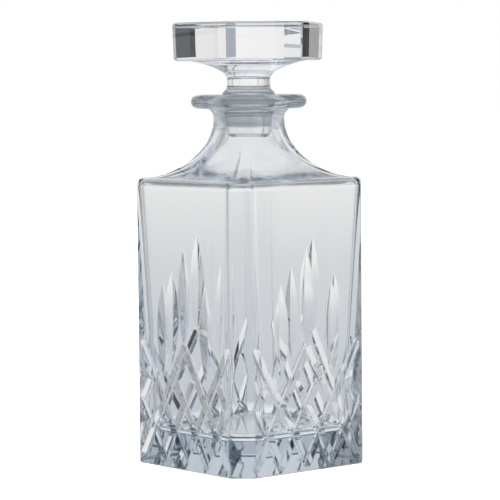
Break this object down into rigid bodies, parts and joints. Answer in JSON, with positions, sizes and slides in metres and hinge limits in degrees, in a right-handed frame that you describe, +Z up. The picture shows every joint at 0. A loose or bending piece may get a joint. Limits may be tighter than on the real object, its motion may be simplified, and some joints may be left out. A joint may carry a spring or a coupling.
{
  "type": "cut crystal decanter",
  "caption": "Square cut-glass decanter with chamfered corners, diamond and mitre cuts, flanged neck and a hexagonal lift-out stopper.",
  "frame": {"origin": "centre of the flat base, on the surface the decanter stands on", "axes": "+Z up along the neck; +X and -Y are the outward normals of the two cut faces that share the corner shown nearest"},
  "size_m": [0.09, 0.09, 0.2246],
  "materials": {
    "body_crystal": "clear polished crystal with bright cuts; the bore is ground matt",
    "stopper_crystal": "clear polished crystal; the plug's taper is ground matt"
  },
  "bodies": {
    "decanter": {"decanter_body": "body_crystal"},
    "stopper": {"stopper": "stopper_crystal"}
  },
  "joints": [
    {"name": "stopper_lift", "type": "slide", "parent": "decanter", "child": "stopper", "axis": [0, 0, 1], "range_m": [0, 0.06]}
  ]
}
